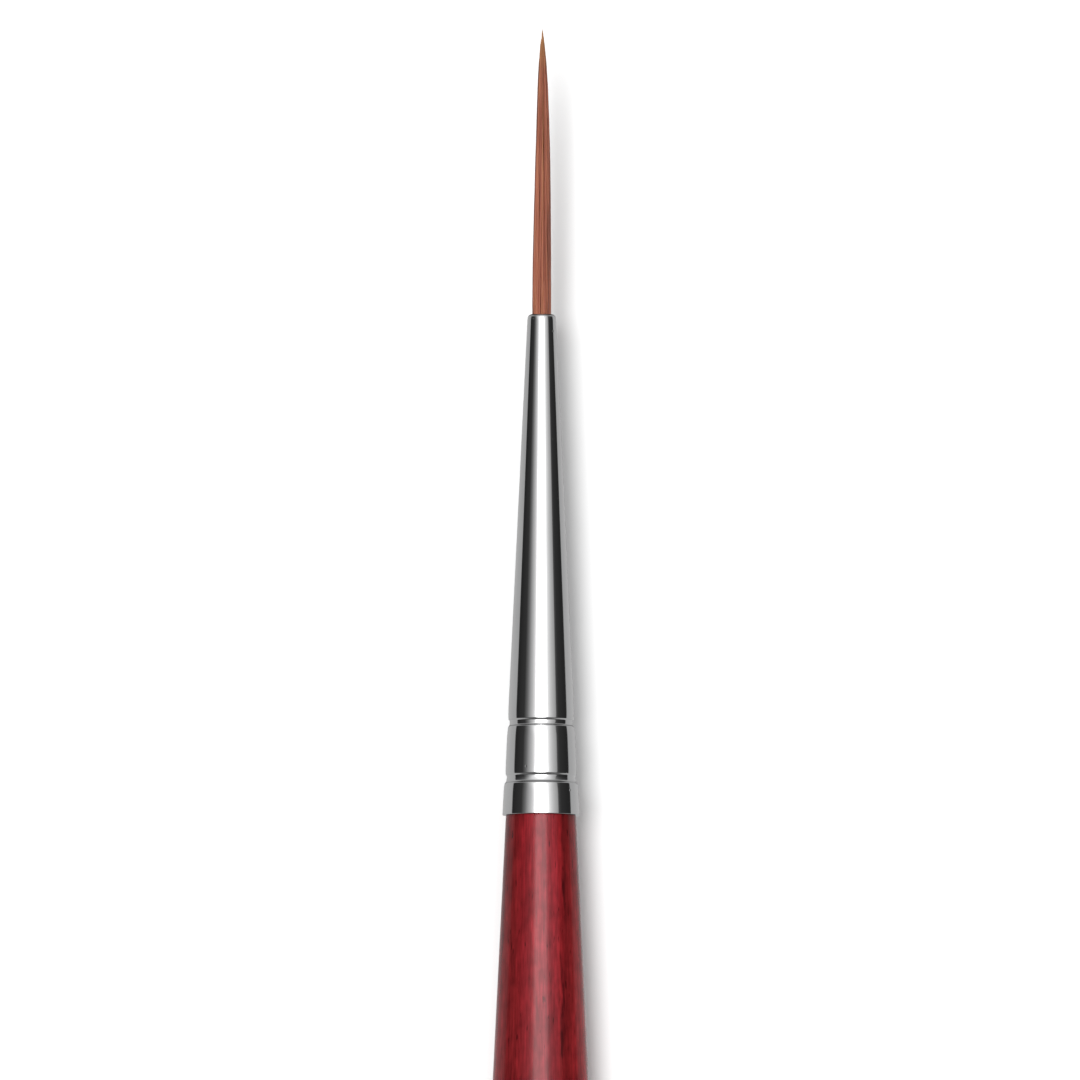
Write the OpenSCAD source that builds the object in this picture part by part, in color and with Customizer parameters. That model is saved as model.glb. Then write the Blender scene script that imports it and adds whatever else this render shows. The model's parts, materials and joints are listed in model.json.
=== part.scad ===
// Fine detail brush: a long, pointed round tuft held in a seamless tapered
// ferrule, which is glued and crimped on a turned wooden handle.
//
// Every piece is turned about the brush's own axis. A station is a distance
// along that axis from the ferrule's back edge, in millimetres: positive
// towards the tip, negative towards the tail. In each section, x is the
// distance from the axis and y is the station.
//
// The brush lies on a table along +Y, tip first, as it comes to rest: on the
// belly and the tail of its handle, with the tuft held clear of the table. The
// origin is on the table, under the middle of the brush.

/* [Tuft] */
// Length of the hair outside the ferrule
hair_out = 19.3; // [15:0.1:24]
// Diameter of the tuft where it leaves the ferrule
tuft_d = 1.27; // [1.1:0.01:1.28]
// Width that the point's curve has gained when it runs into the body, as a share of tuft_d
point_share = 0.52; // [0.4:0.01:0.7]
// How quickly the point narrows, as a share of hair_out
point_reach = 0.14; // [0.08:0.01:0.2]
// How far in front of the ferrule the tuft's bending is centred
bend_ahead = 0.66; // [0.65:0.01:1]

/* [Ferrule] */
// Length of the ferrule
ferrule_len = 33.5; // [30:0.1:38]
// Outer diameter at the mouth
mouth_d = 1.88; // [1.86:0.01:2]
// Outer diameter that the cone reaches at the back edge
back_d = 5.01; // [4.8:0.01:5.2]
// Thickness of the metal
wall = 0.28; // [0.24:0.01:0.28]
// Radius that the mouth's outer edge is rolled to
lip_r = 0.24; // [0.1:0.01:0.24]
// How far the band behind the last crimp is swelled out by the handle
band_swell = 0.055; // [0:0.005:0.08]
// Stations of the two crimps
crimps = [2.4, 6.13];
// Depth of a crimp
crimp_depth = 0.13; // [0.08:0.01:0.18]
// Distance from a crimp's middle at which it has a third of its depth
crimp_w = 0.33; // [0.25:0.01:0.4]

/* [Handle] */
// Length of the handle outside the ferrule
handle_len = 134.2; // [110:0.1:160]
// Diameter of the handle at the ferrule's back edge
neck_d = 4.66; // [4.64:0.01:4.8]
// Greatest diameter of the handle
belly_d = 6.8; // [6.6:0.01:7.6]
// Station of the greatest diameter
belly_at = -25; // [-34:0.5:-24]
// Radius of the curve along the belly
belly_curve = 110; // [90:1:130]
// Radius of the slightly hollow curve from the belly to the tail
waist_curve = 8000; // [6000:500:20000]
// Radius of the rounded tail
tail_r = 1.8; // [1.5:0.05:2]
// Length of the tenon inside the ferrule
tenon_len = 15; // [12:0.5:16]
// Radial room for glue round the tenon
glue_film = 0.08; // [0.06:0.01:0.1]
// Length of the glued sleeve, back from the tenon's end
glue_len = 6.5; // [4:0.5:7]
// Depth of the pool of glue in front of the tenon
glue_pool = 0.8; // [0.4:0.1:1.2]

/* [Hair root] */
// Length of the hair inside the ferrule
root_len = 12.5; // [11:0.5:14]
// Diameter of the tied bundle at its butt
butt_d = 1.7; // [1.6:0.01:1.8]
// Diameter of the binding thread
thread_d = 0.15; // [0.1:0.01:0.16]
// Turns of the binding thread
thread_turns = 6; // [4:1:8]
// Distance from the butt to the first turn
tie_from_butt = 0.9; // [0.6:0.1:1.5]
// How far the resin reaches in front of the butt
resin_ahead = 3.2; // [2.8:0.1:4]
// How far the resin reaches behind the butt
resin_behind = 1.6; // [1:0.1:2]

/* [Hidden] */
$fn = 96;
// Hairline between faces that glue or pressure holds together
hairline = 0.005;
// Steps along the tuft's outline, round a short and a long curve, and from a
// crimp's middle to each end of it
tuft_steps = 28;
arc_steps = 6;
belly_steps = 8;
waist_steps = 12;
crimp_steps = 8;
// A size larger than any radius, and how far a cut runs past the end it opens
beyond = 20;
overrun = 1;

tip_at = ferrule_len + hair_out;
bend_at = ferrule_len + bend_ahead;
butt_at = ferrule_len - root_len;
tuft_r = tuft_d / 2;
butt_r = butt_d / 2;
taper = (back_d - mouth_d) / 2 / ferrule_len;

// A crimp fades out smoothly, and has ended this far from its middle
crimp_reach = 2.2 * crimp_w;

// Stations of the points on the ferrule's outline
outline_at = concat(
    [0],
    [for (c = crimps) for (i = [-crimp_steps:crimp_steps])
        c + i * crimp_reach / crimp_steps],
    [ferrule_len]
);

// Centres of the belly's curve and of the tail's ball
belly_c = [belly_d / 2 - belly_curve, belly_at];
tail_c = [0, tail_r - handle_len];

// Slope of the line that touches the belly's curve and the ball: the handle
// rests on it
span = belly_c - tail_c;
rest_slope = acos((tail_r - belly_curve) / norm(span)) - direction(tail_c, belly_c);

// Centre of the hollow curve, which touches the belly's curve and the ball
to_belly = waist_curve + belly_curve;
to_tail = waist_curve + tail_r;
tail_angle = acos((span * span + to_tail * to_tail - to_belly * to_belly)
    / (2 * norm(span) * to_tail));
waist_c = tail_c + to_tail * toward(direction(tail_c, belly_c) - tail_angle);

// Slope of the straight cone from the neck to the belly's curve
rise = [neck_d / 2, -hairline] - belly_c;
neck_slope = atan2(rise.y, rise.x) - acos(belly_curve / norm(rise));

// How far the tip lies along the table from the centre of the tail's ball
tip_reach = (tip_at - tail_c.y) * cos(rest_slope);

// Radius of the ferrule's cone at a station
function cone_r(s) = mouth_d / 2 + taper * (ferrule_len - s);

// How deep both crimps are sunk at a station
function sunk(s) =
    crimp_depth * (exp(-pow((s - crimps[0]) / crimp_w, 2))
        + exp(-pow((s - crimps[1]) / crimp_w, 2)));

// How far the last band is swelled at a station: fully behind its crimp
function swelled(s) =
    band_swell * min(1, max(0, 0.5 + (crimps[0] - s) / (2 * crimp_w)));

// Outer radius of the ferrule at a station
function metal_r(s) = cone_r(s) + swelled(s) - sunk(s);

// Radius of the hair at a station inside the ferrule
function root_r(s) = tuft_r + (butt_r - tuft_r) * (ferrule_len - s) / root_len;

// Radius of the tuft at a share t of its length from the tip
function hair_r(t) =
    tuft_r * (point_share * (1 - exp(-t / point_reach)) + (1 - point_share) * t);

// Unit vector in a direction, which is an angle counted from the radial one
function toward(a) = [cos(a), sin(a)];

// Direction from one point of a section to another
function direction(from, to) = atan2(to.y - from.y, to.x - from.x);

// Points of an arc between two directions
function arc(centre, r, from, to, steps) = [
    for (i = [0:steps]) centre + r * toward(from + (to - from) * i / steps)
];

// Turns a section about the axis and lays it on the table
module lay_down() {
    translate([0, (tail_r - tip_reach) / 2, tail_r])
    rotate([rest_slope - 90, 0, 0])
    translate([0, 0, -tail_c.y])
    rotate_extrude()
    children();
}

// Keeps what lies between two stations
module between(from, to) {
    intersection() {
        children();
        translate([0, from]) square([beyond, to - from]);
    }
}

// The room inside the ferrule, drawn in by a film of the given thickness, and
// carried on past both ends
module bore_section(film) {
    inset = wall + film;
    polygon(concat(
        [[0, -overrun], [metal_r(0) - inset, -overrun]],
        [for (s = outline_at) [metal_r(s) - inset, s]],
        [[metal_r(ferrule_len) - inset, ferrule_len + overrun]],
        [[0, ferrule_len + overrun]]
    ));
}

module ferrule_section() {
    lip_c = [mouth_d / 2 - lip_r, ferrule_len - lip_r];
    difference() {
        polygon(concat(
            [[0, 0]],
            [for (s = outline_at) if (s < lip_c.y) [metal_r(s), s]],
            arc(lip_c, lip_r, 0, 90, arc_steps),
            [[0, ferrule_len]]
        ));
        bore_section(0);
    }
}

module handle_section() {
    from_belly = direction(belly_c, waist_c);
    from_tail = direction(tail_c, waist_c);
    polygon(concat(
        [[0, -hairline], [neck_d / 2, -hairline]],
        arc(belly_c, belly_curve, neck_slope, from_belly, belly_steps),
        arc(waist_c, waist_curve, from_belly - 180, from_tail - 180, waist_steps),
        arc(tail_c, tail_r, from_tail, -90, arc_steps)
    ));
}

// The tenon starts inside the handle and fills the bore, less the glue
module tenon_section() {
    between(-overrun, tenon_len) bore_section(glue_film);
}

module glue_section() {
    difference() {
        between(tenon_len - glue_len, tenon_len + glue_pool) bore_section(hairline);
        between(0, tenon_len + hairline) bore_section(glue_film - hairline);
    }
}

module tuft_section() {
    polygon(concat(
        [for (i = [0:tuft_steps])
            let (t = pow(i / tuft_steps, 2))
            [hair_r(t), tip_at - t * (tip_at - bend_at)]],
        arc([0, bend_at], hair_r(1), 0, -90, arc_steps)
    ));
}

module root_section() {
    polygon([
        [0, butt_at],
        [butt_r, butt_at],
        [tuft_r, ferrule_len - hairline],
        [0, ferrule_len - hairline]
    ]);
}

// The turns of thread, side by side from the butt forwards
module binding_section() {
    pitch = thread_d + 2 * hairline;
    for (i = [0:thread_turns - 1])
        let (s = butt_at + tie_from_butt + i * pitch)
        translate([root_r(s) + thread_d / 2 + hairline, s]) circle(d = thread_d);
}

module resin_section() {
    tied_r = butt_r + thread_d + 3 * hairline;
    tied_to = butt_at + tie_from_butt + thread_turns * (thread_d + 2 * hairline);
    front = butt_at + resin_ahead;
    difference() {
        between(butt_at - resin_behind, front) bore_section(hairline);
        polygon([
            [0, butt_at - hairline],
            [tied_r, butt_at - hairline],
            [tied_r, tied_to],
            [root_r(tied_to) + hairline, tied_to],
            [root_r(front) + hairline, front],
            [0, front]
        ]);
    }
}

module handle() {
    color("#8c1d27") {
        lay_down() handle_section();
        lay_down() tenon_section();
    }
}

module ferrule() {
    color("#c9cccf") lay_down() ferrule_section();
}

module handle_glue() {
    color("#d8c79a") lay_down() glue_section();
}

module hair_tuft() {
    color("#a35a42") lay_down() tuft_section();
}

module hair_root() {
    color("#9a5a48") lay_down() root_section();
}

module root_binding() {
    color("#e9e2cf") lay_down() binding_section();
}

module resin_plug() {
    color("#c98f3c") lay_down() resin_section();
}

handle();
ferrule();
handle_glue();
hair_tuft();
hair_root();
root_binding();
resin_plug();
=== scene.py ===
"""A fine detail brush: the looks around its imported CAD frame.

A station is a distance in millimetres along the brush's axis, from the
ferrule's back edge and positive towards the tip. Outlines are (radius,
station) pairs in millimetres, and MM turns them into the frame's metres.
"""

import json
import math
import bpy
import bmesh
import numpy as np
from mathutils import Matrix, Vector


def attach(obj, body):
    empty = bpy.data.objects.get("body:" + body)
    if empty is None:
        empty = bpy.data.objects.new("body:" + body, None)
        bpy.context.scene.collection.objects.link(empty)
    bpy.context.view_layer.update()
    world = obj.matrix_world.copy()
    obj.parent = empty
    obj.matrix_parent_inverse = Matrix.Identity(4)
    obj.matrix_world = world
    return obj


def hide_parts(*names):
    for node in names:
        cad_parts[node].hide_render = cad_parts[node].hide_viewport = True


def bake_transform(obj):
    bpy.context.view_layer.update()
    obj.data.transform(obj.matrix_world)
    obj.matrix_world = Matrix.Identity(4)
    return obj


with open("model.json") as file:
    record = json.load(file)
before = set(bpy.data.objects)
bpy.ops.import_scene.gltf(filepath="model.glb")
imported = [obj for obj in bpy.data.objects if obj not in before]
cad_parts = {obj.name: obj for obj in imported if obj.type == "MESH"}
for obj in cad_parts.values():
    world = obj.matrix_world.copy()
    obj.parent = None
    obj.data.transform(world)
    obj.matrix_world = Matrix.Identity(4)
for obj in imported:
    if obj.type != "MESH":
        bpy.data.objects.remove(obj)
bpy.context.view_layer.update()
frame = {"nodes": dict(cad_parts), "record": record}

MM = 0.001

# Tuft
HAIR_OUT = 19.3
TUFT_R = 1.27 / 2
POINT_SHARE = 0.52
POINT_REACH = 0.14
BEND_AHEAD = 0.66
ROOT_LEN = 12.5
BUTT_R = 1.7 / 2
FLUFF = 0.025  # how far loose hairs stand off the tuft, and twice that at its middle
BOW = 0.06  # how far the tuft leans to the right, two thirds of the way to its tip

# Hairs
HAIRS = 250
SEED = 7
HAIR_R = 0.036
END_R = 0.010
HAIR_SIDES = 6
HAIR_RINGS = 44
ROOT_RINGS = 4  # those of a hair's rings that are inside the ferrule
GOLDEN_ANGLE = math.pi * (3 - math.sqrt(5))

# Ferrule
FERRULE_LEN = 33.5
MOUTH_R = 1.88 / 2
BACK_R = 5.01 / 2
WALL = 0.28
LIP_R = 0.24
EDGE_R = 0.04  # the small rounds on the ferrule's and the handle's edges
BAND_SWELL = 0.055
CRIMPS = (2.4, 6.13)
CRIMP_DEPTH = 0.13
CRIMP_W = 0.33
GROOVE_W = (0.27, 0.21)  # half the width of each crimp's steep-sided groove
GROOVE_SHARE = 0.65  # how much of a crimp's depth the groove has
CRIMP_REACH = 1.4  # how far the close rings run on past the first and the last crimp
SEEN_STEP = 0.02  # between the rings of the crimps
HIDDEN_STEP = 0.1  # between the rings of the bore and the tenon under the crimps

# Handle
HANDLE_LEN = 134.2
NECK_R = 4.66 / 2
NECK_TAPER = 0.048  # growth of the radius for each millimetre behind the ferrule
BELLY_R = 6.8 / 2
BELLY_AT = -25
BELLY_CURVE = 110
WAIST_CURVE = 8000
TAIL_R = 1.8
TENON_LEN = 15
GLUE_FILM = 0.08
HAIRLINE = 0.005  # between faces that press on each other

# Turned meshes
SIDES = 192
MERGED = 3e-8  # metres between points that become one, such as those on the axis
SHARP = 50  # degrees between faces that meet at a sharp edge

# The hinge at the tuft's bend gives the brush's axis
JOINT = frame["record"]["behaviour"]["joints"][0]
BEND_AT = FERRULE_LEN + BEND_AHEAD
PIVOT = np.array(JOINT["pos_m"])
UP = np.array(JOINT["axis"])
ACROSS = np.array([1.0, 0.0, 0.0])
ALONG = np.cross(UP, ACROSS)

# The photograph looks straight down from over the middle of the brush
CAMERA_HEIGHT = 0.575
VIEW_WIDTH = 72 * MM  # what the view covers across, at the ferrule's mouth
VIEW_CENTRE = 15.14 * MM  # from the ferrule's mouth to the view's centre
VIEW_SHIFT = -0.09 * MM  # from the brush's axis to the view's centre
SENSOR = 36  # width of the camera's sensor in millimetres


def on_axis(station):
    """Points of the brush's axis, in metres."""
    return PIVOT + np.multiply.outer(np.asarray(station, float) - BEND_AT, ALONG) * MM


def smooth(x):
    """0 below 0, 1 above 1, and an S-curve between."""
    x = np.clip(x, 0, 1)
    return x * x * (3 - 2 * x)


def arc(centre, radius, start, end, steps):
    """Points of an arc, between two angles in degrees counted from the radial direction."""
    angles = np.radians(np.linspace(start, end, steps + 1))
    return [(centre[0] + radius * math.cos(a), centre[1] + radius * math.sin(a)) for a in angles]


def direction(start, end):
    """Angle in degrees of the line between two points of an outline."""
    return math.degrees(math.atan2(end[1] - start[1], end[0] - start[0]))


def make_object(name, points, faces):
    mesh = bpy.data.meshes.new(name)
    mesh.from_pydata(points, [], faces)
    mesh.polygons.foreach_set("use_smooth", [True] * len(mesh.polygons))
    piece = bpy.data.objects.new(name, mesh)
    bpy.context.scene.collection.objects.link(piece)
    return piece


def spokes(count):
    """Directions square to the brush's axis, spread evenly round it."""
    angles = np.linspace(0, 2 * np.pi, count, endpoint=False)
    return np.outer(np.cos(angles), ACROSS) + np.outer(np.sin(angles), UP)


def tube_faces(first, rings, sides, closed=False):
    """Faces between rings of points, numbered from the first ring's first point."""
    faces = []
    for i in range(rings if closed else rings - 1):
        here = first + i * sides
        there = first + (i + 1) % rings * sides
        for k in range(sides):
            after = (k + 1) % sides
            faces.append((here + k, here + after, there + after, there + k))
    return faces


def turned(name, outline, closed):
    """Turns an outline about the brush's axis. A closed outline comes back to its start."""
    radius, station = np.array(outline, float).T
    rings = on_axis(station)[:, None] + radius[:, None, None] * spokes(SIDES)[None] * MM
    faces = tube_faces(0, len(outline), SIDES, closed)
    piece = make_object(name, rings.reshape(-1, 3), faces)
    mesh = bmesh.new()
    mesh.from_mesh(piece.data)
    bmesh.ops.remove_doubles(mesh, verts=mesh.verts, dist=MERGED)
    bmesh.ops.recalc_face_normals(mesh, faces=mesh.faces)
    mesh.to_mesh(piece.data)
    mesh.free()
    piece.data.set_sharp_from_angle(angle=math.radians(SHARP))
    return piece


# ---------------------------------------------------------------- ferrule

def metal_r(station):
    """Outer radius of the ferrule."""
    radius = MOUTH_R + (BACK_R - MOUTH_R) * (1 - station / FERRULE_LEN)
    radius = radius + BAND_SWELL * smooth(0.5 + (CRIMPS[0] - station) / (2 * CRIMP_W))
    for crimp, half in zip(CRIMPS, GROOVE_W):
        groove = np.exp(-(((station - crimp) / half) ** 6))
        shoulders = np.exp(-(((station - crimp) / (1.6 * CRIMP_W)) ** 2))
        radius = radius - CRIMP_DEPTH * (GROOVE_SHARE * groove + (1 - GROOVE_SHARE) * shoulders)
    return radius


def ferrule_stations(start, end, step):
    """Stations a step apart over the crimps, and a millimetre apart in front of them."""
    fine = np.arange(CRIMPS[0] - CRIMP_REACH, CRIMPS[1] + CRIMP_REACH, step)
    coarse = np.arange(math.ceil(fine[-1]), end, 1.0)
    both = np.concatenate([[start], fine, coarse, [end]])
    return both[(both >= start) & (both <= end)]


def make_ferrule():
    lip = (MOUTH_R - LIP_R, FERRULE_LEN - LIP_R)
    outer = [(metal_r(s), s) for s in ferrule_stations(EDGE_R, lip[1] - 0.1, SEEN_STEP)]
    inner_at = ferrule_stations(EDGE_R, FERRULE_LEN - EDGE_R, HIDDEN_STEP)
    inner = [(metal_r(s) - WALL, s) for s in inner_at]
    back = arc((metal_r(0) - EDGE_R, EDGE_R), EDGE_R, -90, -20, 4)
    inner_back = arc((metal_r(0) - WALL + EDGE_R, EDGE_R), EDGE_R, -180, -90, 4)
    inner_lip = arc((MOUTH_R - WALL + EDGE_R, FERRULE_LEN - EDGE_R), EDGE_R, 90, 160, 4)
    outline = back + outer + arc(lip, LIP_R, 5, 90, 14) + inner_lip + inner[::-1] + inner_back
    ferrule = turned("ferrule_tube", outline, closed=True)
    ferrule.data.materials.append(nickel())
    return ferrule


# ---------------------------------------------------------------- handle

def handle_outline():
    """From the tenon's end, over the shoulder and the belly, to the tail."""
    belly_c = (BELLY_R - BELLY_CURVE, BELLY_AT)
    tail_c = (0, TAIL_R - HANDLE_LEN)
    span = math.dist(belly_c, tail_c)
    to_belly = WAIST_CURVE + BELLY_CURVE
    to_tail = WAIST_CURVE + TAIL_R
    corner = (span**2 + to_tail**2 - to_belly**2) / (2 * span * to_tail)
    toward_waist = math.radians(direction(tail_c, belly_c)) - math.acos(corner)
    waist_c = (
        tail_c[0] + to_tail * math.cos(toward_waist),
        tail_c[1] + to_tail * math.sin(toward_waist),
    )
    neck = (NECK_R, -HAIRLINE)
    neck_turn = math.degrees(math.acos(BELLY_CURVE / math.dist(belly_c, neck)))
    from_belly = direction(belly_c, waist_c)
    from_tail = direction(tail_c, waist_c)
    edge = (NECK_R - EDGE_R, -HAIRLINE - EDGE_R)
    tenon_at = ferrule_stations(0, TENON_LEN, HIDDEN_STEP)
    tenon = [(metal_r(s) - WALL - GLUE_FILM, s) for s in tenon_at]
    return (
        [(0, TENON_LEN)]
        + tenon[::-1]
        + [(tenon[0][0], -HAIRLINE)]
        + arc(edge, EDGE_R, 90, 10, 4)
        + [(NECK_R + NECK_TAPER * d, -HAIRLINE - d) for d in (0.1, 0.3, 1, 4, 9)]
        + arc(belly_c, BELLY_CURVE, direction(belly_c, neck) - neck_turn, from_belly, 40)
        + arc(waist_c, WAIST_CURVE, from_belly + 180, from_tail + 180, 40)[1:-1]
        + arc(tail_c, TAIL_R, from_tail, -90, 24)
    )


def make_handle():
    handle = turned("handle_turning", handle_outline(), closed=False)
    handle.data.materials.append(stained_wood())
    return handle


# ---------------------------------------------------------------- hair

def tuft_r(share):
    """Radius of the tuft at a share of its length from the tip."""
    point = POINT_SHARE * (1 - np.exp(-share / POINT_REACH))
    return TUFT_R * (point + (1 - POINT_SHARE) * share)


def hair_ends(rng):
    """Where each hair ends, as a share of the tuft's length from the tip."""
    shares = np.linspace(0, 1, 400)
    crowding = (tuft_r(shares) / TUFT_R) ** 1.3
    return np.interp(rng.permutation(HAIRS) / HAIRS, crowding, shares)


def hair_run(end):
    """Stations of a hair's rings, the bundle's radius at each, and the hair's own radius."""
    climb = np.linspace(0, 1, HAIR_RINGS - ROOT_RINGS)
    share = 1 - (1 - end) * climb ** 0.85
    outside = tuft_r(share) + FLUFF * (smooth((1 - share) / 0.05) + np.sin(np.pi * share))
    thick = HAIR_R * (outside / TUFT_R) ** 0.35
    thick = np.maximum(thick * (1 - 0.4 * smooth((climb - 0.72) / 0.28)), END_R)
    depth = np.linspace(1, 0, ROOT_RINGS, endpoint=False)
    inside = TUFT_R + (BUTT_R - TUFT_R) * depth
    station = np.concatenate([FERRULE_LEN - ROOT_LEN * depth, FERRULE_LEN + HAIR_OUT * (1 - share)])
    envelope = np.concatenate([inside, outside])
    thick = np.concatenate([np.full(ROOT_RINGS, HAIR_R), thick])
    return station, envelope, thick


def sway(station, phases, slow, quick):
    """A slow wave and a smaller, quicker one along a hair."""
    return 0.035 * np.sin(station * slow + phases[0]) + 0.02 * np.sin(station * quick + phases[1])


def hair_tone(angle, out, chance):
    """How light a hair is: partly chance, in streaks round the tuft, and with painted shade on the
    outermost hairs at the tuft's left and right sides.
    """
    streak = 0.5 + 0.25 * math.sin(5 * angle + 1) + 0.25 * math.sin(11 * angle + 4)
    # painted shade: the outermost hairs at the tuft's left and right sides are made darker
    edge = smooth((abs(math.cos(angle)) * out - 0.75) / 0.2)
    return 0.55 * chance + 0.45 * streak - 0.35 * edge


def make_hair():
    """Every hair from its butt in the ferrule to its own end in the point."""
    rng = np.random.default_rng(SEED)
    ends = hair_ends(rng)
    round_hair = spokes(HAIR_SIDES)
    hair_size = HAIR_RINGS * HAIR_SIDES
    points, faces, tone_values, share_values = [], [], [], []
    for i in range(HAIRS):
        angle = i * GOLDEN_ANGLE + rng.normal(0, 0.03)
        out = min(1.07 * math.sqrt((i + 0.5) / HAIRS), 1)
        station, envelope, thick = hair_run(ends[i])
        phases = rng.uniform(0, 2 * np.pi, 4)
        wave = sway(station, phases[:2], 0.55, 1.3)
        lean = sway(station, phases[2:], 0.45, 1.1)
        spread = np.minimum(out * (1 + lean), 1) * (envelope - thick)
        beyond = np.clip((station - FERRULE_LEN) / HAIR_OUT, 0, 1)
        bow = BOW * 27 / 4 * beyond**2 * (1 - beyond)
        sideways = spread * np.cos(angle + wave) + bow
        upwards = spread * np.sin(angle + wave)
        middle = on_axis(station) + np.outer(sideways, ACROSS) * MM + np.outer(upwards, UP) * MM
        hair = middle[:, None] + thick[:, None, None] * round_hair[None] * MM
        points.append(hair.reshape(-1, 3))
        butt = i * hair_size
        end = butt + hair_size - HAIR_SIDES
        faces += tube_faces(butt, HAIR_RINGS, HAIR_SIDES)
        faces.append(tuple(butt + k for k in reversed(range(HAIR_SIDES))))
        faces.append(tuple(end + k for k in range(HAIR_SIDES)))
        # the tone carries each hair's chance and streaks, and the painted shade at the tuft's sides
        tone_values.append(np.full(hair_size, hair_tone(angle, out, rng.random())))
        share_values.append(np.repeat(1 - beyond, HAIR_SIDES))
    hair = make_object("hair_bundle", np.concatenate(points), faces)
    for name, values in (("tone", tone_values), ("share", share_values)):
        layer = hair.data.attributes.new(name, "FLOAT", "POINT")
        layer.data.foreach_set("value", np.concatenate(values).astype(np.float32))
    hair.data.materials.append(hair_material())
    return hair


# ---------------------------------------------------------------- materials

def add(tree, kind, inputs=(), **settings):
    """Adds a node. Its inputs map a socket's name or number to a value or to a socket."""
    node = tree.nodes.new("ShaderNode" + kind)
    for name, value in settings.items():
        setattr(node, name, value)
    for name, value in dict(inputs).items():
        if isinstance(value, bpy.types.NodeSocket):
            tree.links.new(value, node.inputs[name])
        else:
            node.inputs[name].default_value = value
    return node


def math_node(tree, operation, *values):
    return add(tree, "Math", dict(enumerate(values)), operation=operation).outputs[0]


def ramp(tree, factor, stops, interpolation="LINEAR"):
    """A colour ramp from (position, grey or colour) pairs."""
    node = add(tree, "ValToRGB", {"Fac": factor})
    node.color_ramp.interpolation = interpolation
    elements = node.color_ramp.elements
    while len(elements) < len(stops):
        elements.new(1.0)
    for element, (position, value) in zip(elements, stops):
        element.position = position
        element.color = (*value, 1) if isinstance(value, tuple) else (value, value, value, 1)
    return node.outputs["Color"]


def mix(tree, factor, a, b, blend_type="MIX"):
    node = add(tree, "Mix", data_type="RGBA", blend_type=blend_type)
    for name, value in (("Factor_Float", factor), ("A_Color", a), ("B_Color", b)):
        socket = next(s for s in node.inputs if s.identifier == name)
        if isinstance(value, bpy.types.NodeSocket):
            tree.links.new(value, socket)
        else:
            socket.default_value = (*value, 1) if isinstance(value, tuple) else value
    return next(s for s in node.outputs if s.identifier == "Result_Color")


def srgb(code):
    """Linear colour from a six-digit sRGB code."""
    parts = [int(code[i:i + 2], 16) / 255 for i in (0, 2, 4)]
    return tuple(p / 12.92 if p <= 0.04045 else ((p + 0.055) / 1.055) ** 2.4 for p in parts)


def new_material(name):
    material = bpy.data.materials.new(name)
    material.use_nodes = True
    material.node_tree.nodes.clear()
    return material, material.node_tree


def finish_material(tree, **values):
    """Adds the surface shader. Underscores in the names stand for spaces."""
    inputs = {name.replace("_", " "): value for name, value in values.items()}
    shader = add(tree, "BsdfPrincipled", inputs)
    add(tree, "OutputMaterial", {"Surface": shader.outputs[0]})
    return shader


def stretched(tree, across, along):
    """Object coordinates in millimetres, scaled across and along the brush."""
    place = add(tree, "TexCoord").outputs["Object"]
    scale = (across / MM, along / MM, across / MM)
    return add(tree, "Mapping", {"Vector": place, "Scale": scale}).outputs[0]


def noise(tree, across, along, detail=2.0, roughness=0.5):
    place = stretched(tree, across, along)
    return add(tree, "TexNoise", {
        "Vector": place, "Scale": 1.0, "Detail": detail, "Roughness": roughness,
    }).outputs["Fac"]


def nickel():
    """Bright nickel plating on drawn brass: nearly a mirror, with fine pits and wipe marks."""
    material, tree = new_material("nickel_plate")
    wipes = noise(tree, 9, 0.5)
    haze = noise(tree, 0.9, 0.25, detail=4)
    roughness = ramp(tree, wipes, [(0.35, 0.06), (0.75, 0.1)])
    colour = ramp(tree, haze, [(0.3, (0.76, 0.76, 0.765)), (0.7, (0.8, 0.8, 0.805))])
    pits = add(tree, "TexVoronoi", {"Vector": stretched(tree, 1, 1), "Scale": 0.8}).outputs["Distance"]
    height = ramp(tree, pits, [(0.0, 0.0), (0.07, 1.0)])
    bump = add(tree, "Bump", {"Height": height, "Strength": 0.5, "Distance": 0.02 * MM})
    finish_material(
        tree, Base_Color=colour, Metallic=1.0, Roughness=roughness, Normal=bump.outputs[0]
    )
    return material


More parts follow.
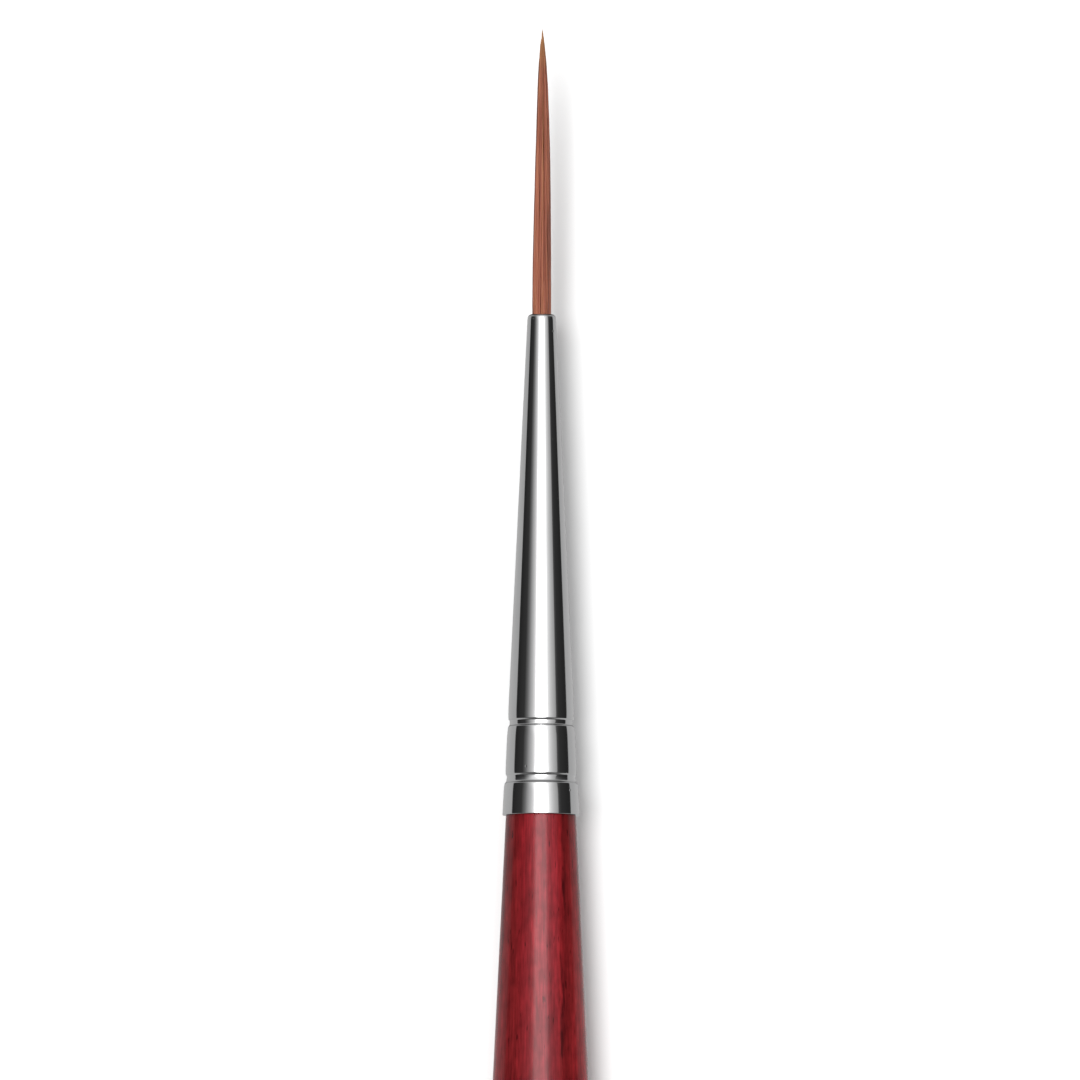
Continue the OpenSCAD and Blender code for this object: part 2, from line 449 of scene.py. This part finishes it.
def stained_wood():
    """Close-grained hardwood, stained deep red under clear gloss lacquer, with painted light on the
    handle's left and right sides.
    """
    material, tree = new_material("stained_wood")
    place = add(tree, "TexCoord").outputs["Object"]
    across = add(tree, "SeparateXYZ", {"Vector": place}).outputs["X"]
    wander = math_node(tree, "SUBTRACT", noise(tree, 0.15, 0.12, detail=3), 0.5)
    fray = math_node(tree, "SUBTRACT", noise(tree, 3.5, 0.5, detail=3), 0.5)
    layer = math_node(tree, "MULTIPLY_ADD", across, 1 / (2 * BELLY_R * MM), 0.5)
    layer = math_node(tree, "MULTIPLY_ADD", wander, 0.05, layer)
    layer = math_node(tree, "MULTIPLY_ADD", fray, 0.08, layer)
    # layers of the grain across the handle; the lighter reds at the ramp's two ends are painted light
    # on the handle's left and right sides
    red = ramp(tree, layer, [
        (0.08, srgb("822227")), (0.15, srgb("721a1e")), (0.2, srgb("68181b")), (0.26, srgb("6e1a1d")),
        (0.35, srgb("861e25")), (0.45, srgb("90212a")), (0.54, srgb("982732")), (0.6, srgb("861f28")),
        (0.64, srgb("8a1e27")), (0.69, srgb("841d22")), (0.73, srgb("68171a")), (0.8, srgb("7d1d20")),
        (0.84, srgb("902227")), (0.9, srgb("9a262b")),
    ])
    vein = ramp(tree, layer, [(0.695, 0.0), (0.71, 1.0), (0.72, 1.0), (0.735, 0.0)])
    broken = ramp(tree, noise(tree, 1.2, 0.3, detail=2), [(0.5, 0.0), (0.6, 0.85)])
    red = mix(tree, math_node(tree, "MULTIPLY", vein, broken), red, srgb("430c10"))
    fibres = noise(tree, 8, 0.45, detail=3)
    bands = noise(tree, 1.1, 0.04, detail=3)
    figure = noise(tree, 1.6, 0.8, detail=3)
    pores = noise(tree, 5.5, 0.9, detail=1)
    red = mix(tree, 0.5, red, ramp(tree, bands, [(0.35, 0.35), (0.6, 1.0)]), "MULTIPLY")
    red = mix(tree, 0.6, red, ramp(tree, fibres, [(0.3, 0.5), (0.7, 1.25)]), "MULTIPLY")
    red = mix(tree, 0.6, red, ramp(tree, figure, [(0.3, 0.5), (0.7, 1.25)]), "MULTIPLY")
    red = mix(tree, 0.8, red, ramp(tree, pores, [(0.24, 0.2), (0.31, 1.0)]), "MULTIPLY")
    ripple = noise(tree, 2.2, 0.7, detail=2)
    bump = add(tree, "Bump", {"Height": ripple, "Strength": 0.5, "Distance": 0.004 * MM})
    shader = finish_material(
        tree, Base_Color=red, Roughness=0.55, Specular_IOR_Level=0.0,
        Coat_Weight=1.0, Coat_Roughness=0.17, Coat_IOR=1.38,
    )
    tree.links.new(bump.outputs[0], shader.inputs["Coat Normal"])
    return material


def hair_material():
    """Red-brown hair, lighter and golden towards its end."""
    material, tree = new_material("hair")
    # the tone attribute holds the hairs' chance and streaks, and the painted shade at the tuft's left
    # and right sides
    tone = add(tree, "Attribute", attribute_name="tone").outputs["Fac"]
    share = add(tree, "Attribute", attribute_name="share").outputs["Fac"]
    patches = noise(tree, 6, 0.25, detail=2)
    drift = math_node(tree, "MULTIPLY_ADD", patches, 0.7, -0.35)
    tone = math_node(tree, "ADD", tone, drift)
    colour = ramp(tree, tone, [
        (0.05, srgb("63301f")), (0.35, srgb("8a4a36")), (0.6, srgb("985840")), (0.95, srgb("a86e4c")),
    ])
    golden = ramp(tree, share, [(0.0, 0.75), (0.05, 0.6), (0.16, 0.0)])
    colour = mix(tree, golden, colour, srgb("b0824e"))
    finish_material(tree, Base_Color=colour, Roughness=0.42, IOR=1.5)
    return material


def resin_material():
    """Hardened amber epoxy with a little cloud in it."""
    material, tree = new_material("resin")
    cloud = noise(tree, 1.5, 1.5, detail=3)
    colour = ramp(tree, cloud, [(0.3, srgb("a8702c")), (0.7, srgb("d09a4c"))])
    finish_material(tree, Base_Color=colour, Roughness=0.2, Coat_Weight=0.5)
    return material


def glue_material():
    """Dried cream wood glue."""
    material, tree = new_material("glue")
    cloud = noise(tree, 2.5, 2.5, detail=3)
    colour = ramp(tree, cloud, [(0.3, srgb("cbb98a")), (0.7, srgb("e2d6b4"))])
    finish_material(tree, Base_Color=colour, Roughness=0.5)
    return material


def thread_material():
    """Twisted binding thread."""
    material, tree = new_material("thread")
    place = stretched(tree, 1, 1)
    twist = add(tree, "TexWave", {
        "Vector": place, "Scale": 3.0, "Distortion": 2.0, "Detail": 2.0,
    }, bands_direction="DIAGONAL").outputs["Fac"]
    colour = ramp(tree, twist, [(0.2, srgb("c9bfa6")), (0.8, srgb("efe8d6"))])
    bump = add(tree, "Bump", {"Height": twist, "Strength": 0.6, "Distance": 0.02 * MM})
    finish_material(tree, Base_Color=colour, Roughness=0.85, Normal=bump.outputs[0])
    return material


def dress(node, material):
    """Gives a CAD node its material."""
    slots = frame["nodes"][node].material_slots
    for slot in slots:
        slot.link = "OBJECT"
        slot.material = material


# ---------------------------------------------------------------- studio

# Brightness of the studio against the angle from straight up, on each side: a
# broad soft box overhead, dark walls, and below them the floor as the polished
# metal and the lacquer mirror it. Straight ahead of the tip, the floor is dark
SKY_STRENGTH = 2.1
FILL = 0.3  # extra strength that softens the shadow
SKY = {
    "left": [
        (17.5, 1), (22, 0.48), (28, 0.34), (33, 0.27), (41, 0.18), (49, 0.085), (56, 0.045),
        (62, 0.018), (90, 0.011), (96.5, 0.011), (99.5, 0.2), (140, 0.235),
    ],
    "right": [
        (19, 1), (24, 0.58), (28, 0.44), (34, 0.35), (41, 0.27), (49, 0.205), (53, 0.18),
        (56, 0.033), (65, 0.016), (90, 0.011), (101, 0.011), (104, 0.2), (140, 0.235),
    ],
    "tip": [
        (19, 1), (24, 0.7), (30, 0.5), (45, 0.3), (60, 0.15), (80, 0.12), (95, 0.2),
    ],
    "ahead": [
        (19, 1), (24, 0.7), (30, 0.5), (45, 0.3), (60, 0.15), (80, 0.1), (95, 0.02),
    ],
    "tail": [
        (16, 1), (20, 0.5), (25, 0.22), (30, 0.1), (40, 0.05), (56, 0.03), (66, 0.07), (78, 0.07),
        (84, 0.05), (92, 0.18), (105, 0.2),
    ],
}


def make_world():
    """The studio as the brush sees it, behind a plain white for the camera."""
    world = bpy.data.worlds.new("studio")
    bpy.context.scene.world = world
    world.use_nodes = True
    tree = world.node_tree
    tree.nodes.clear()
    place = add(tree, "TexCoord").outputs["Generated"]
    x, y, z = add(tree, "SeparateXYZ", {"Vector": place}).outputs
    turned_from_up = math_node(tree, "DIVIDE", math_node(tree, "ARCCOSINE", z), math.pi)
    sides = {
        side: ramp(tree, turned_from_up, [(angle / 180, level) for angle, level in stops])
        for side, stops in SKY.items()
    }
    rightwards = math_node(tree, "GREATER_THAN", x, 0.0)
    tipwards = math_node(tree, "GREATER_THAN", y, 0.0)
    crosswise = mix(tree, rightwards, sides["left"], sides["right"])
    x2 = math_node(tree, "MULTIPLY", x, x)
    y2 = math_node(tree, "MULTIPLY", y, y)
    level2 = math_node(tree, "ADD", math_node(tree, "ADD", x2, y2), 1e-6)
    alignment = math_node(tree, "DIVIDE", y2, level2)
    straight = ramp(tree, alignment, [(0.5, 0.0), (0.65, 1.0)])
    forwards = mix(tree, straight, sides["tip"], sides["ahead"])
    lengthwise = mix(tree, tipwards, sides["tail"], forwards)
    lengthways = ramp(tree, alignment, [(0.06, 0.0), (0.4, 1.0)], "EASE")
    colour = mix(tree, lengthways, crosswise, lengthwise)
    path = add(tree, "LightPath").outputs
    strength = math_node(tree, "MULTIPLY_ADD", path["Is Diffuse Ray"], FILL, SKY_STRENGTH)
    studio = add(tree, "Background", {"Color": colour, "Strength": strength})
    white = add(tree, "Background", {"Color": (1, 1, 1, 1), "Strength": 1.0})
    both = add(tree, "MixShader", {0: path["Is Camera Ray"], 1: studio.outputs[0], 2: white.outputs[0]})
    add(tree, "OutputWorld", {"Surface": both.outputs[0]})


def make_lamp(name, energy, angle, toward):
    """A large round lamp, in a direction from the brush."""
    lamp = bpy.data.lights.new(name, "SUN")
    lamp.energy = energy
    lamp.angle = math.radians(angle)
    held = bpy.data.objects.new(name, lamp)
    held.rotation_euler = Vector(toward).to_track_quat("Z", "Y").to_euler()
    bpy.context.scene.collection.objects.link(held)
    return held


def make_lamps():
    """The key light is a little to the left. The overhead one only makes the highlights."""
    key = make_lamp("key", 2.5, 26, (-0.28, 0.04, 1))
    key.visible_glossy = False
    overhead = make_lamp("overhead", 0.77, 37, (0, 0, 1))
    overhead.visible_diffuse = False


def make_floor():
    """A pale floor. In mirrors, the world's lower half takes its place."""
    material, tree = new_material("pale_floor")
    finish_material(tree, Base_Color=(0.84, 0.84, 0.84, 1), Roughness=0.9, Specular_IOR_Level=0.2)
    half = 3.0  # metres
    corners = [(-half, -half, 0), (half, -half, 0), (half, half, 0), (-half, half, 0)]
    floor = make_object("floor", corners, [(0, 1, 2, 3)])
    floor.data.materials.append(material)
    floor.visible_glossy = False


def make_camera():
    """Looks almost straight down, at the front of the brush."""
    mouth = on_axis(FERRULE_LEN)
    place = Vector((0, 0, CAMERA_HEIGHT))
    target = Vector((VIEW_SHIFT, mouth[1] - VIEW_CENTRE, mouth[2]))
    camera = bpy.data.cameras.new("camera")
    camera.sensor_width = SENSOR
    camera.lens = SENSOR * (target - place).length / VIEW_WIDTH
    camera.clip_start = 0.01
    seen_from = bpy.data.objects.new("camera", camera)
    seen_from.location = place
    seen_from.rotation_euler = (target - place).to_track_quat("-Z", "Y").to_euler()
    bpy.context.scene.collection.objects.link(seen_from)
    bpy.context.scene.camera = seen_from


# ---------------------------------------------------------------- assembly

make_camera()
make_world()
make_lamps()
make_floor()
bpy.context.scene.view_settings.view_transform = "Standard"

ferrule = make_ferrule()
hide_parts("ferrule")
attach(ferrule, "brush")

handle = make_handle()
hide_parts("handle")
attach(handle, "brush")

hair = make_hair()
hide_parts("hair_tuft", "hair_root")
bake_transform(hair)

dress("root_binding", thread_material())
dress("resin_plug", resin_material())
dress("handle_glue", glue_material())
